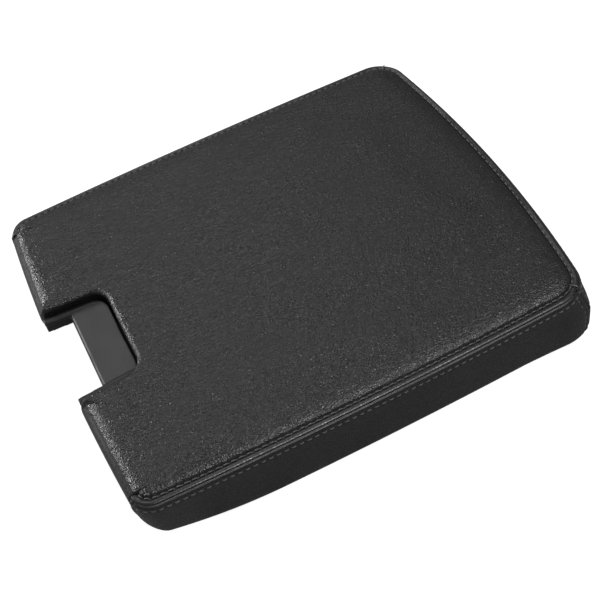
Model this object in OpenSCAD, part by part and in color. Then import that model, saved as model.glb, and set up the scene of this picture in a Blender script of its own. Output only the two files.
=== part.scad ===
/* [Plan] */
// Width of the lid, measured between the corners
lid_w = 300; // [260:1:340]
// Length of the lid from front to rear, measured between the corners
lid_l = 345; // [300:1:400]
// How far each long side bows outwards at its middle
side_bow = 3.3; // [0:0.1:6]
// How far the front edge bows outwards
front_bow = 6.2; // [0:0.1:10]
// How far the rear edge bows outwards
rear_bow = 11.9; // [0:0.1:18]
// Radius of the two front corners
front_corner_r = 15; // [10:1:22]
// Radius of the two rear corners
rear_corner_r = 28; // [22:1:40]
// How far the leather stands out round the foot of each rear corner
corner_flare = 15; // [0:1:18]

/* [Height] */
// Height of the seam line round the shoulder, above the lower edge
seam_h = 48.3; // [42:0.1:60]
// How far the middle of the top panel stands above the seam line
crown_h = 5.3; // [4.5:0.1:8]
// How far the sides' lower edge is lifted at the front
side_lift = 19; // [12:0.5:20]
// Distance behind the front corners where that lift runs out
lift_run = 100; // [60:1:120]
// Height of the front's lower edge, above the lower edge of the sides
front_edge_z = 31; // [28:0.5:32]

/* [Latch notch] */
// Width of the notch at its mouth
notch_mouth_w = 90; // [70:1:110]
// Width of the notch at its back
notch_back_w = 82; // [64:1:100]
// Depth of the notch behind the front edge
notch_d = 48; // [40:1:60]
// Radius of the two inner corners of the notch
notch_r = 13; // [10:1:18]
// Radius of the two corners at the mouth
mouth_r = 5; // [3:0.5:8]
// Distance from the front corners' line to the ledge's front edge
ledge_y = 15; // [8:1:22]
// How far the ledge lies below the seam line
ledge_drop = 4; // [2:0.5:8]

/* [Cover] */
// Thickness of the leather
leather_t = 1.2; // [0.8:0.1:1.4]
// Width of leather turned under the lower edge
hem_w = 14; // [10:0.5:18]
// Distance from the seam to each row of stitches
stitch_in = 4.7; // [4:0.1:6]
// Thickness of the tape behind the seam
tape_t = 0.4; // [0.2:0.1:0.5]

/* [Moulded shell] */
// Wall and skin thickness of the shell
wall_t = 2.6; // [2:0.1:3.2]
// How far the shell's wall lies inside the finished outline
shell_in = 3.4; // [3.2:0.1:5]
// How far the shell's top lies below the seam line
shell_drop = 3.3; // [2.8:0.1:6]
// Width of the flange that the hem is fastened to
flange_w = 12; // [9:0.5:18]
// Thickness of the ribs
rib_t = 1.6; // [1.2:0.1:2.4]
// Height of the ribs under the skin
rib_h = 12; // [6:0.5:15]
// Largest spacing of the ribs
rib_pitch = 34; // [26:1:60]

/* [Fixings] */
// Spacing across of the four hinge screws
hinge_dx = 110; // [90:1:150]
// Spacing front to rear of the four hinge screws
hinge_dy = 26; // [20:1:34]
// Distance from the rear edge's corners to the middle of the hinge screws
hinge_in = 44; // [38:1:60]
// Radius of the bore in the hinge inserts
hinge_bore_r = 2.1; // [1.6:0.05:2.5]
// Radius of the bore in the latch inserts
latch_bore_r = 1.65; // [1.25:0.05:2.1]
// Spacing of the two latch screws
latch_dx = 48; // [36:1:56]
// Distance from the lid's side to the liner's screws
liner_in = 27; // [24:1:40]
// Distance from the lid's ends to the liner's first and last screws
liner_end = 74; // [66:1:100]
// Radius of the hole for the liner's self-tapping screws
liner_hole_r = 1.5; // [1.2:0.05:1.8]
// Height above the lower edge at which the liner seats
liner_seat_h = 12; // [10:0.5:16]
// Spacing of the staples along the hem
staple_pitch = 31; // [24:1:50]

/* [Hidden] */
$fn = 48;
gap = 0.15;
cut = 1;
flare = atan((notch_mouth_w - notch_back_w) / 2 / notch_d);
flare_k = 1 / cos(flare) - tan(flare);

// Plan outline. A point list runs counter-clockwise from the notch's right
// cheek, and has the same number of points at every inset.
function unit(v) = v / norm(v);
function fillet(a, b, c, r, n) =
    let (u = unit(a - b), v = unit(c - b), half = acos(u * v) / 2,
         o = b + unit(u + v) * r / sin(half),
         s = b + u * r / tan(half) - o, e = b + v * r / tan(half) - o,
         a0 = atan2(s.y, s.x), turn = atan2(s.x * e.y - s.y * e.x, s * e))
    [for (k = [0:n]) o + r * [cos(a0 + turn * k / n), sin(a0 + turn * k / n)]];
function between(a, b, steps) = [for (k = steps) a + (b - a) * k];
function last(list) = list[len(list) - 1];

// The bow of all four sides.
function warp(p) =
    let (across = 1 - pow(p.x / (lid_w / 2), 2), along = p.y / lid_l)
    [p.x * (1 + 2 * side_bow / lid_w * 4 * along * (1 - along)),
     p.y + across * (rear_bow * along - front_bow * (1 - along))];

function corners(inset) =
    let (x = lid_w / 2 - inset, m = notch_mouth_w / 2 + inset * flare_k,
         b = notch_back_w / 2 + inset * flare_k)
    [[m, inset], [x, inset], [x, lid_l - inset], [-x, lid_l - inset],
     [-x, inset], [-m, inset], [-b, notch_d + inset], [b, notch_d + inset]];
function corner_r(i, inset) =
    i == 0 || i == 5 ? max(mouth_r - inset, 1)
    : i == 1 || i == 4 ? max(front_corner_r - inset, 1)
    : i == 2 || i == 3 ? max(rear_corner_r - inset, 6)
    : notch_r + inset;
corner_steps = [4, 6, 8, 8, 6, 4, 5, 5];
// Where the points between two corners lie. The front's last one is next to the corner,
// because the band ends there and the top panel turns down over the front.
function evenly(n) = [for (k = [1:n]) k / (n + 1)];
front_steps = [0.15, 0.6, 0.85, 0.975];
side_steps = [front_steps, evenly(9), evenly(9), evenly(9),
    [for (k = [len(front_steps) - 1:-1:0]) 1 - front_steps[k]], evenly(1), evenly(3), evenly(1)];
function outline(inset) =
    let (c = corners(inset),
         f = [for (i = [0:7]) fillet(c[(i + 7) % 8], c[i], c[(i + 1) % 8],
                                     corner_r(i, inset), corner_steps[i])])
    [for (i = [0:7]) each [for (p = concat(f[i],
        between(last(f[i]), f[(i + 1) % 8][0], side_steps[i]))) warp(p)]];
edge = outline(0);
outline_n = len(edge);

// Places along the outline, counted in points.
function corner_at(i) =
    i == 0 ? 0 : corner_at(i - 1) + corner_steps[i - 1] + 1 + len(side_steps[i - 1]);
right_mouth = corner_steps[0];
right_front = corner_at(1);
right_seam = corner_at(2) + corner_steps[2] / 2;
left_seam = corner_at(3) + corner_steps[3] / 2;
left_front = corner_at(4) + corner_steps[4];
left_mouth = corner_at(5);
// 1 on the notch's edge, 0 on the outer edge, and a ramp round the mouth.
function notch_share(i) =
    i <= right_mouth ? 1 - i / right_mouth
    : i < left_mouth ? 0
    : i <= left_mouth + corner_steps[5] ? (i - left_mouth) / corner_steps[5] : 1;
function on_front(i, short = 0) = i < right_front - short || i > left_front + short;

// The lower edge, which rises along the sides and then round the front corners.
function side_rise(y) = y < lift_run ? side_lift * pow((lift_run - y) / (lift_run + front_bow), 2) : 0;
function chin(i) =
    let (k = (i < outline_n / 2 ? i - right_front : left_front - i) / corner_steps[1])
    k < 0 ? 1 : k > 1 ? 0 : pow(1 - k, 1.5);
function lift(i) = let (z = side_rise(edge[i].y)) z + chin(i) * (front_edge_z - z);
front_y = min([for (p = edge) p.y]);
y_mid = (front_y + lid_l + rear_bow) / 2;

// The outline without the notch.
module plain_shape(inset) {
    x = lid_w / 2 - inset;
    c = [[x, inset], [x, lid_l - inset], [-x, lid_l - inset], [-x, inset]];
    r = [corner_r(1, inset), corner_r(2, inset), corner_r(3, inset), corner_r(4, inset)];
    f = [for (i = [0:3]) fillet(c[(i + 3) % 4], c[i], c[(i + 1) % 4], r[i], 8)];
    polygon([for (i = [0:3]) each [for (p = concat(f[i],
        between(last(f[i]), f[(i + 1) % 4][0], evenly(9)))) warp(p)]]);
}

// The notch alone, drawn smaller by a margin and open at the front.
module notch_shape(margin) {
    front = -front_bow - 12;
    m = notch_mouth_w / 2 - margin / cos(flare) - front * tan(flare);
    b = notch_back_w / 2 - margin * flare_k;
    c = [[m, front], [b, notch_d - margin], [-b, notch_d - margin], [-m, front]];
    r = max(notch_r - margin, 2);
    polygon([for (p = concat([c[0]], fillet(c[0], c[1], c[2], r, 8),
        between(c[1] - [r, 0], c[2] + [r, 0], evenly(3)), fillet(c[1], c[2], c[3], r, 8), [c[3]])) warp(p)]);
}

// A skin through rings of points, closed at its first and last ring by the faces of a cap.
module loft(rings, cap) {
    n = len(rings[0]);
    m = len(rings);
    polyhedron([for (r = rings) each r],
        concat(cap,
            [for (k = [0:m - 2], i = [0:n - 1]) let (j = (i + 1) % n)
                [k * n + j, k * n + i, (k + 1) * n + i, (k + 1) * n + j]],
            [for (f = cap) [for (k = [len(f) - 1:-1:0]) (m - 1) * n + f[k]]]), convexity = 8);
}

// The cap of a strip, whose section goes up its outer side and back down its inner one.
function strip_cap(n) = [for (k = [0:n / 2 - 2]) each [[k, k + 1, n - 2 - k], [k, n - 2 - k, n - 1 - k]]];

// The cap of a ring round the lid: the part behind the notch, and a fan beside each of its cheeks.
function lid_cap(ring) =
    let (back_left = corner_at(6) + corner_steps[6], back_right = corner_at(7), n = len(ring),
         side = right_front + corner_steps[1],
         steps = len([for (i = [side:right_seam]) if (ring[i].y < ring[back_right].y + 1) i]),
         right = side + steps, left = right_front + left_front - right)
    concat([[for (i = [right:left]) i, for (i = [back_left:back_right]) i]],
        [for (i = [back_right:right + n - 2]) [i % n, (i + 1) % n, right]],
        [for (i = [left:back_left - 1]) [i, i + 1, left]]);

// The hem is trimmed away at both ends of each front, so it doesn't run into the wall.
hem_trim = 2.6;
trim_share = 0.05;
function trimmed(inset) = inset > hem_trim ? hem_trim + trim_share * (inset - hem_trim) : inset;
function at_trim(i) = i <= right_mouth || i >= left_mouth || i == right_front - 1 || i == left_front + 1;

// One closed ring round the lid. Each place on it is an inset, a height and how much of
// the lower edge's lift it takes: on the sides, on the front, and on the notch's edge.
function ring(side, front, notch, short = 0) =
    let (a = outline(side[0]), b = outline(front[0]), c = outline(notch[0]),
         d = front[2] > 0 ? outline(trimmed(front[0])) : b)
    [for (i = [0:outline_n - 1])
        let (t = notch_share(i), f = on_front(i, short), at = f ? front : side,
             p = f ? (at_trim(i) ? d[i] : b[i]) : a[i], q = p + (c[i] - p) * t)
        [q.x, q.y, (1 - t) * (at[1] + at[2] * lift(i)) + t * notch[1]]];

// Round a rear corner the leather leaves the seam's line and stands out further down.
flare_top = seam_h - 4.3;
flare_run = 19;
flare_reach = 52;
flare_fade = 2.8;
function flared(p, z, inset) =
    let (side = p.x < 0 ? -1 : 1, out = [side, 1] / sqrt(2), corner = [side * lid_w / 2, lid_l],
         near = max(1 - norm(p - corner) / flare_reach, 0),
         down = min(max((flare_top - z) / flare_run, 0), 1),
         outer = min(max((hem_up - inset) / flare_fade, 0), 1),
         q = p + out * corner_flare * pow(near, 2) * pow(down, 2) * (3 - 2 * down) * outer)
    [q.x, q.y, z];

// A strip that follows the outer edge, with a section of such places.
module strip(section, from, to) {
    lines = [for (s = section) outline(s[0])];
    loft([for (i = [to:-1:from]) [for (k = [0:len(section) - 1])
        flared(lines[k][i], section[k][1] + section[k][2] * lift(i), section[k][0])]],
        strip_cap(len(section)));
}

// Insets at which the hem bends. The flange above it bends at the same ones.
hem_up = 6;
hem_in = 7.6;
hem_end = hem_w;

module place() translate([0, -y_mid, 0]) children();

// Sections of the cover. The seam lies at the shoulder, where the top panel and the band
// are each folded back on themselves.
seam_in = 2.3;
t = leather_t;
crown = seam_h + crown_h;
crown_in = 26;
flap_z = seam_h - 13;
stitch_x = seam_in + stitch_in;
hem_step = 1;
side_outer = [[seam_in + 0.5, seam_h - 1.8, 0], [seam_in + 0.1, seam_h - 1.5, 0], [seam_in, seam_h - 1, 0],
    [seam_in, seam_h + 0.1, 0], [seam_in + 0.6, seam_h + 0.9, 0], [seam_in + 1.9, seam_h + 1.3, 0],
    [stitch_x, seam_h + 1.7, 0], [stitch_x + 1.4, seam_h + 0.55 * crown_h, 0],
    [stitch_x + 4, seam_h + 0.76 * crown_h, 0], [stitch_x + 10, crown - 0.4, 0], [crown_in, crown, 0]];
side_inner = [[crown_in, crown - t, 0], [stitch_x + 10.2, crown - 0.4 - t, 0],
    [stitch_x + 4.5, seam_h + 0.76 * crown_h - t, 0], [stitch_x + 2, seam_h + 0.55 * crown_h - t, 0],
    [stitch_x + 0.2, seam_h + 1.7 - t, 0], [seam_in + 2.1, seam_h + 1.3 - t, 0],
    [seam_in + 1.5, seam_h - 0.2, 0], [seam_in + 1.1, seam_h - 0.9, 0], [seam_in + 1, seam_h - 1.2, 0],
    [seam_in + 0.95, seam_h - 1.5, 0], [seam_in + 0.9, seam_h - 1.8, 0]];
// The front is rolled over, and its hem turned under the lower edge.
front_outer = [[hem_end, hem_step, 1], [hem_in, hem_step, 1], [4, hem_step, 1], [1.4, hem_step + 0.8, 1],
    [0, 7, 1], [0.4, seam_h - 5, 0], [2.2, seam_h - 0.5, 0], [4.2, seam_h + 0.28 * crown_h, 0],
    [7.4, seam_h + 0.62 * crown_h, 0], [12.5, crown - 0.8, 0], [crown_in, crown, 0]];
front_inner = [[crown_in, crown - t, 0], [12.7, crown - 0.8 - t, 0], [7.9, seam_h + 0.62 * crown_h - t, 0],
    [5, seam_h + 0.28 * crown_h - 0.7 * t, 0], [3.2, seam_h - 1.2, 0], [0.4 + t, seam_h - 5.4, 0],
    [t, 7.2, 1], [1.1 + t, hem_step + 2, 1], [4.3, hem_step + t, 1], [hem_in, hem_step + t, 1],
    [hem_end, hem_step + t, 1]];
// In the notch the leather is turned down behind the bezel.
flap_in = 0.9;
flap_outer = [[flap_in, flap_z], [flap_in, flap_z + 2], [flap_in, flap_z + 4], [flap_in, seam_h - 5],
    [flap_in, seam_h - 2], [flap_in + 0.1, seam_h + 0.1 * crown_h], [flap_in + 0.5, seam_h + 0.36 * crown_h],
    [flap_in + 1.5, seam_h + 0.58 * crown_h], [flap_in + 3.6, seam_h + 0.77 * crown_h],
    [flap_in + 8, seam_h + 0.89 * crown_h], [crown_in, crown]];
flap_inner = [[crown_in, crown - t], [flap_in + 8.2, seam_h + 0.89 * crown_h - t],
    [flap_in + 4.1, seam_h + 0.77 * crown_h - t], [flap_in + 2.5, seam_h + 0.58 * crown_h - 0.75 * t],
    [flap_in + 1.6, seam_h + 0.3 * crown_h - 0.2 * t], [flap_in + t, seam_h - 0.5],
    [flap_in + t, seam_h - 2.5], [flap_in + t, seam_h - 5.5], [flap_in + t, flap_z + 4],
    [flap_in + t, flap_z + 2], [flap_in + t, flap_z]];

// Top panel: one piece of leather, folded at the seam, rolled over the front and turned
// down into the notch.
module top_panel() {
    n = len(side_outer) - 1;
    color("#2b2b2c") place() difference() {
        loft(concat([for (k = [0:n]) ring(side_inner[k], front_inner[k], flap_inner[k])],
            [for (k = [0:n]) ring(side_outer[k], front_outer[k], flap_outer[k])]),
            lid_cap(outline(crown_in)));
        staple_holes();
    }
}

// Bands: the leather round the sides, folded at the seam and turned under the lower edge.
band_mid = [0.2, 24, 0.3];
band_section = [[hem_end, hem_step, 1], [hem_in, hem_step, 1], [hem_up + 0.4, 0, 1], [4, 0, 1],
    [2, 0.5, 1], [0.8, 2.2, 1], [0.3, 6, 1], band_mid, [0.1, seam_h - 12, 0],
    [0, seam_h - stitch_in - 0.8, 0], [0.4, seam_h - 2.6, 0],
    [seam_in - 1.4, seam_h - 0.8, 0], [seam_in - 0.8, seam_h - 0.1, 0], [seam_in - 0.1, seam_h, 0],
    [seam_in - 0.1, seam_h - 1.8, 0], [0.4 + t, seam_h - 3, 0], [t, seam_h - stitch_in - 0.8, 0],
    [0.1 + t, seam_h - 12, 0], band_mid + [t, 0, 0], [1.5, 6, 1], [2, t + 1.8, 1],
    [2.5, t + 0.6, 1], [3.2, t, 1], [hem_up, t, 1], [hem_in, hem_step + t, 1], [hem_end, hem_step + t, 1]];

module staple_holes() {
    for (s = staples)
        translate(s[0]) rotate([0, -s[2], s[1]])
            for (x = [-1, 1])
                translate([x * (staple_w - staple_d) / 2, 0, staple_leg / 2])
                    cube([staple_d + 0.2, staple_d + 0.2, staple_leg + 0.4], center = true);
}
module band(from, to) {
    color("#252526") place() difference() {
        strip(band_section, from, to);
        staple_holes();
    }
}
module right_band() band(right_front, right_seam);
module rear_band() band(right_seam, left_seam);
module left_band() band(left_seam, left_front);

// Tape sewn in behind the seam.
tape_x = t + gap + 0.1;
tape_section = [[tape_x, seam_h - 6.5, 0], [tape_x + 0.1, seam_h - 3.6, 0], [tape_x + 0.9, seam_h - 2.4, 0],
    [stitch_x + 1, seam_h + 1.7 - t - gap - 0.1, 0],
    [stitch_x + 1, seam_h + 1.7 - t - gap - 0.1 - tape_t, 0], [tape_x + 1.1, seam_h - 2.4 - tape_t, 0],
    [tape_x + tape_t + 0.1, seam_h - 3.6 - tape_t, 0], [tape_x + tape_t, seam_h - 6.5, 0]];
module seam_tape() {
    color("#8b8b86") place() strip(tape_section, right_front, left_front);
}

// Foam pad: a moulded cap over the shell's top and sides.
foam_x = shell_in - gap;
foam_side = tape_x + tape_t + gap;
foam_outer = [[foam_side, 6, 1], [foam_side, seam_h - 7, 0], [foam_side + 0.2, seam_h - 4.2, 0],
    [foam_side + 1.4, seam_h - 3 - tape_t, 0], [stitch_x + 1.1, seam_h + 0.5 - t - tape_t, 0],
    [stitch_x + 2.5, seam_h + 0.45 * crown_h - t, 0], [stitch_x + 4.9, seam_h + 0.68 * crown_h - t, 0],
    [stitch_x + 10.3, crown - 0.6 - t, 0], [crown_in, crown - t - gap, 0]];
front_foam = [[t + 1.9, 4, 1], [t + 0.9, 6, 1], [t + 0.4, 7.8, 1], [t + 0.9, seam_h - 5.4, 0],
    [t + 2.5, seam_h - 1.5, 0], [t + 5.7, seam_h + 0.45 * crown_h - t, 0],
    [t + 8.3, seam_h + 0.64 * crown_h - t, 0], [12.9, crown - 1 - t, 0], [crown_in, crown - t - gap, 0]];
notch_foam = [[flap_in + t + gap, flap_z + 2], [flap_in + t + gap, seam_h - 4],
    [flap_in + t + gap + 0.1, seam_h - 1], [flap_in + t + 0.6, seam_h + 0.1],
    [flap_in + 2.9, seam_h + 0.42 * crown_h - t],
    [flap_in + 4.5, seam_h + 0.7 * crown_h - t], [flap_in + 7.5, seam_h + 0.82 * crown_h - t],
    [flap_in + 14.3, crown - 0.5 - t], [crown_in, crown - t - gap]];
foam_low = seam_h - shell_drop + gap;
module foam_pad() {
    under = [foam_x, foam_low, 0];
    color("#5a564e") place() loft(concat(
        [ring([crown_in, foam_low, 0], [crown_in, foam_low, 0], [crown_in, foam_low]),
         ring(under, under, under), ring([foam_x, 6, 1], [foam_x, 4.2, 1], [foam_x, flap_z + 2], 1)],
        [for (k = [0:len(foam_outer) - 1]) ring(foam_outer[k], front_foam[k], notch_foam[k], 1)]),
        lid_cap(outline(crown_in)));
}

// Shell: an upturned tray with a stapling flange, ribs and screw bosses.
shell_top = seam_h - shell_drop;
skin_z = shell_top - wall_t;
flange_low = t + gap;
hinge_y = lid_l - hinge_in;
hinge_points = [for (x = [-1, 1], y = [-1, 1]) [x * hinge_dx / 2, hinge_y + y * hinge_dy / 2]];
hinge_seat_z = 14;
hinge_insert_r = hinge_bore_r + 1.4;
hinge_insert_l = 10;
liner_points = [for (x = [-1, 1], y = [liner_end, lid_l / 2, lid_l - liner_end])
    [x * (lid_w / 2 - liner_in), y]];
liner_hole_l = 14;
lug_z = 31.4;
lug_t = 2.5;
lug_reach = 6.5;
lug_web = 18;
lug_room = lug_reach + 1.5;
lug_x = notch_back_w / 2 + 15;
lug_points = [for (x = [-1, 1], y = [18, notch_d + 2]) [x * lug_x, y]];
screw_r = 1.6;
screw_l = 8.5;

module boss(point, r, low) {
    translate([point.x, point.y, low]) cylinder(r = r, h = skin_z - low + cut / 2);
}
// Fins run down a boss from the skin: their outer edge's height, how deep they root in the
// boss, and how far above its end they stop.
fin_edge = 3;
fin_root = 0.5;
fin_above = 4;
module boss_fins(point, r, low, reach) {
    for (a = [0:90:270])
        translate([point.x, point.y, 0]) rotate(a)
            rotate([90, 0, 0]) linear_extrude(rib_t, center = true)
                polygon([[0, skin_z + cut / 2], [r + reach, skin_z + cut / 2],
                    [r + reach, skin_z - fin_edge], [r - fin_root, low + fin_above], [0, low + fin_above]]);
}
function spread(low, high) =
    let (n = ceil((high - low) / rib_pitch)) [for (k = [1:n - 1]) low + (high - low) * k / n];
module ribs() {
    low = skin_z - rib_h;
    difference() {
        for (x = spread(-lid_w / 2, lid_w / 2))
            translate([x - rib_t / 2, -front_bow, low])
                cube([rib_t, lid_l + front_bow + rear_bow, rib_h + cut / 2]);
        // Above the front's flange they are lower.
        translate([-lid_w, -lid_l, 0]) cube([2 * lid_w, lid_l + corner_zone, front_rib_z]);
    }
    for (y = spread(0, lid_l))
        translate([-lid_w, y - rib_t / 2, low]) cube([2 * lid_w, rib_t, rib_h + cut / 2]);
}

// The lower edge's line along one side, as the band's points make it.
corner_zone = front_corner_r + 3;
side_line = concat([[0, side_rise(front_corner_r)]],
    [for (i = [right_front + corner_steps[1]:right_seam]) [edge[i].y, lift(i)]],
    [[lid_l + 2 * rear_bow, 0]]);
module over_side_line(low, high) {
    rotate([90, 0, 90]) linear_extrude(lid_w + 40, center = true)
        polygon(concat([for (p = side_line) p + [0, low]],
            [for (k = [len(side_line) - 1:-1:0])
                [side_line[k].x, high == undef ? seam_h + 20 : side_line[k].y + high]]));
}
module behind(y) translate([-lid_w, y, -lid_w]) cube([2 * lid_w, 2 * lid_l, 2 * lid_w]);
module rim(in_from, in_to) difference() {
    polygon(outline(in_from));
    plain_shape(in_to);
}

// The tray has no flange in its two front corners, where the hem climbs.
over_hem = flange_low + hem_step;
flange_top = flange_low + wall_t;
flange_in = shell_in + flange_w;
front_rib_z = front_edge_z + flange_top + 0.5;
lug_top = lug_z + lug_t + gap;
module tray() {
    difference() {
        linear_extrude(shell_top) polygon(outline(shell_in));
        translate([0, 0, -cut]) linear_extrude(skin_z + cut) polygon(outline(shell_in + wall_t));
    }
    intersection() {
        linear_extrude(skin_z + cut / 2) polygon(outline(shell_in + wall_t / 2));
        ribs();
    }
}
module side_flange() {
    intersection() {
        linear_extrude(seam_h) rim(shell_in + cut / 2, flange_in);
        over_side_line(over_hem, flange_top);
        behind(corner_zone);
    }
}
module front_flange() {
    translate([0, 0, front_edge_z + over_hem]) linear_extrude(flange_top - over_hem) intersection() {
        rim(shell_in + cut / 2, flange_in);
        translate([-lid_w / 2 + corner_zone + 2, -lid_l])
            square([lid_w - 2 * corner_zone - 4, lid_l + corner_zone]);
    }
}

module lid_shell() {
    color("#1d1d1e") place() difference() {
        union() {
            difference() {
                intersection() {
                    tray();
                    over_side_line(flange_low);
                }
                translate([-lid_w, -lid_l, -cut])
                    cube([2 * lid_w, lid_l + corner_zone, front_edge_z + over_hem + cut]);
            }
            side_flange();
            front_flange();
            for (p = hinge_points) {
                boss(p, hinge_insert_r + 3, hinge_seat_z);
                boss_fins(p, hinge_insert_r + 3, hinge_seat_z, 9);
            }
            for (p = liner_points) {
                boss(p, liner_hole_r + 2.4, liner_seat_h);
                boss_fins(p, liner_hole_r + 2.4, liner_seat_h, 7);
            }
            for (p = lug_points) boss(p, screw_r + 2.6, lug_z + lug_t);
        }
        for (p = hinge_points) translate([p.x, p.y, hinge_seat_z - cut]) {
            cylinder(r = hinge_insert_r, h = hinge_insert_l + cut);
            cylinder(r = hinge_bore_r, h = hinge_insert_l + 6);
        }
        for (p = liner_points) translate([p.x, p.y, liner_seat_h - cut])
            cylinder(r = liner_hole_r, h = liner_hole_l + cut);
        for (p = lug_points) translate([p.x, p.y, lug_z]) cylinder(r = screw_r, h = lug_t + screw_l);
        // The ribs stand clear of the bezel's lugs.
        translate([-lug_x - lug_room, lug_points[0].y - lug_room, 0])
            cube([2 * (lug_x + lug_room), lug_points[1].y - lug_points[0].y + 2 * lug_room, lug_top]);
        staple_holes();
    }
}

// Latch bezel: the pocket that the latch handle sits in, screwed up under the shell.
ledge_z = seam_h - ledge_drop;
ledge_t = 2.5;
rim_w = 5.2;
rim_h = 1;
rim_foot = 3;
flange_out = 5;
bezel_gap = 0.9;
bezel_wall = 2.4;
lip_r = 3;
lip_h = 7;
latch_y = ledge_y + 17;
latch_points = [for (x = [-1, 1]) [x * latch_dx / 2, latch_y]];
latch_seat_z = ledge_z - 13;
latch_insert_r = latch_bore_r + 1.45;
latch_insert_l = 8;
module cheek_strip(low, high) {
    difference() {
        notch_shape(low);
        polygon([for (s = [-1, 1], y = s > 0 ? [-40, notch_d + 20] : [notch_d + 20, -40])
            warp([s * (notch_back_w / 2 - high / cos(flare) + (notch_d - y) * tan(flare)), y])]);
    }
}
module latch_bezel() {
    color("#3a3a3c") place() difference() {
        union() {
            intersection() {
                union() {
                    linear_extrude(ledge_z) difference() {
                        notch_shape(bezel_gap);
                        notch_shape(bezel_gap + bezel_wall);
                    }
                    // Rims along the two cheeks, each with a rounded-over outer edge.
                    translate([0, 0, ledge_z - rim_foot]) linear_extrude(rim_foot + 0.4 * rim_h)
                        cheek_strip(bezel_gap, bezel_gap + rim_w);
                    translate([0, 0, ledge_z]) linear_extrude(0.7 * rim_h)
                        cheek_strip(bezel_gap + 0.5, bezel_gap + rim_w);
                    translate([0, 0, ledge_z]) linear_extrude(rim_h)
                        cheek_strip(bezel_gap + 1.3, bezel_gap + rim_w - 0.3);
                    // The ledge, with its front edge rolled down.
                    difference() {
                        translate([0, 0, ledge_z - lip_h]) linear_extrude(lip_h) intersection() {
                            notch_shape(bezel_gap);
                            translate([-lid_w / 2, ledge_y]) square([lid_w, lid_l]);
                        }
                        translate([0, ledge_y + ledge_t, ledge_z - lip_h - cut])
                            linear_extrude(lip_h + cut - ledge_t)
                                translate([-lid_w / 2, 0]) square([lid_w, lid_l]);
                        translate([-lid_w / 2, ledge_y - cut, ledge_z - lip_r]) difference() {
                            cube([lid_w, lip_r + cut, lip_r + cut]);
                            translate([-cut, lip_r + cut, 0]) rotate([0, 90, 0])
                                cylinder(r = lip_r, h = lid_w + 2 * cut);
                        }
                    }
                }
                translate([0, 0, lug_z]) linear_extrude(seam_h - lug_z) plain_shape(1.2);
            }
            // Lugs that go out under the shell, one round each pair of screws, and a flange that
            // closes the gap between the leather and the bezel from below.
            difference() {
                translate([0, 0, lug_z]) linear_extrude(lug_t) intersection() {
                    notch_shape(-flange_out);
                    translate([-lid_w / 2, lug_points[0].y - lug_reach]) square([lid_w, lid_l]);
                }
                translate([0, 0, lug_z - cut]) linear_extrude(lug_t + 2 * cut)
                    notch_shape(bezel_gap + bezel_wall / 2);
            }
            difference() {
                for (s = [-1, 1]) hull() for (y = [lug_points[0].y, lug_points[1].y])
                    translate([s * lug_x, y, lug_z]) cylinder(r = lug_reach, h = lug_t, $fn = 32);
                translate([0, 0, lug_z - cut]) linear_extrude(lug_t + 2 * cut)
                    notch_shape(bezel_gap + bezel_wall / 2);
            }
            for (s = [-1, 1])
                translate([s * (lug_x - lug_web / 2), (lug_points[0].y + lug_points[1].y) / 2,
                        lug_z + lug_t / 2])
                    cube([lug_web, lug_points[1].y - lug_points[0].y - 12, lug_t], center = true);
            for (p = latch_points) translate([p.x, p.y, latch_seat_z])
                cylinder(r = latch_insert_r + 2, h = ledge_z - latch_seat_z - cut);
        }
        for (p = latch_points) translate([p.x, p.y, latch_seat_z - cut]) {
            cylinder(r = latch_insert_r, h = latch_insert_l + cut);
            cylinder(r = latch_bore_r, h = latch_insert_l + 2 + cut);
        }
        for (p = lug_points) translate([p.x, p.y, lug_z - cut])
            cylinder(r = screw_r + 0.4, h = lug_t + 2 * cut);
    }
}

// Pan-head screws that hold the bezel's lugs.
head_r = 3.6;
head_h = 2.2;
module bezel_screws() {
    color("#77797c") place() for (p = lug_points) translate([p.x, p.y, lug_z]) difference() {
        union() {
            translate([0, 0, -head_h]) rotate_extrude()
                polygon([[0, 0], [head_r - 1, 0], [head_r - 0.2, 0.7], [head_r, head_h], [0, head_h]]);
            cylinder(r = screw_r, h = lug_t + screw_l - 1.5);
        }
        for (a = [0, 90]) rotate(a) translate([0, 0, -head_h]) cube([3.4, 0.8, 2.4], center = true);
    }
}

// Threaded inserts, each with a knurl band groove.
module insert(r, bore_r, length) {
    rotate_extrude() polygon([[bore_r, 0], [r, 0], [r, length * 0.42], [r - 0.4, length * 0.46],
        [r - 0.4, length * 0.56], [r, length * 0.6], [r, length - 0.5], [r - 0.5, length],
        [bore_r, length]]);
}
module hinge_inserts() {
    color("#b08d3c") place() for (p = hinge_points) translate([p.x, p.y, hinge_seat_z])
        insert(hinge_insert_r, hinge_bore_r, hinge_insert_l);
}
module latch_inserts() {
    color("#b08d3c") place() for (p = latch_points) translate([p.x, p.y, latch_seat_z])
        insert(latch_insert_r, latch_bore_r, latch_insert_l);
}

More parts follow.
